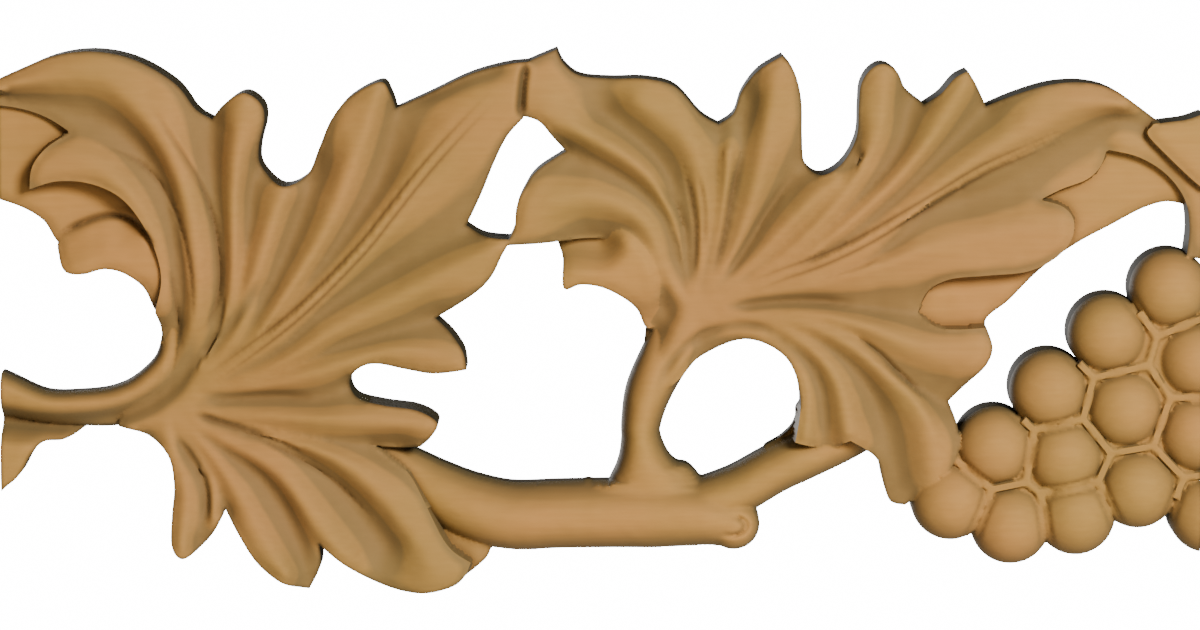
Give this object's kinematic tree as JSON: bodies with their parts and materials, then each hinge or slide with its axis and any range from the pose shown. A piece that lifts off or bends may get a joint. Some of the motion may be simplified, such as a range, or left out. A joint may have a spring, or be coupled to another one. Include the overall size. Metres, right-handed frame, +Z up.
{
  "type": "carved grape moulding",
  "caption": "Length of openwork wooden moulding carved with a vine branch, broad leaves and a bunch of grapes, flat behind for fixing to furniture.",
  "frame": {"origin": "on the flat back, behind the heart of the middle leaf", "axes": "+X along the moulding's length, +Z up across its width, -Y out of the carved front, +Y out of the flat back"},
  "size_m": [0.225, 0.0165, 0.1019],
  "materials": {
    "carved_wood": "bare sanded wood, satin"
  },
  "bodies": {
    "root": {"grape_moulding": "carved_wood"}
  },
  "joints": []
}
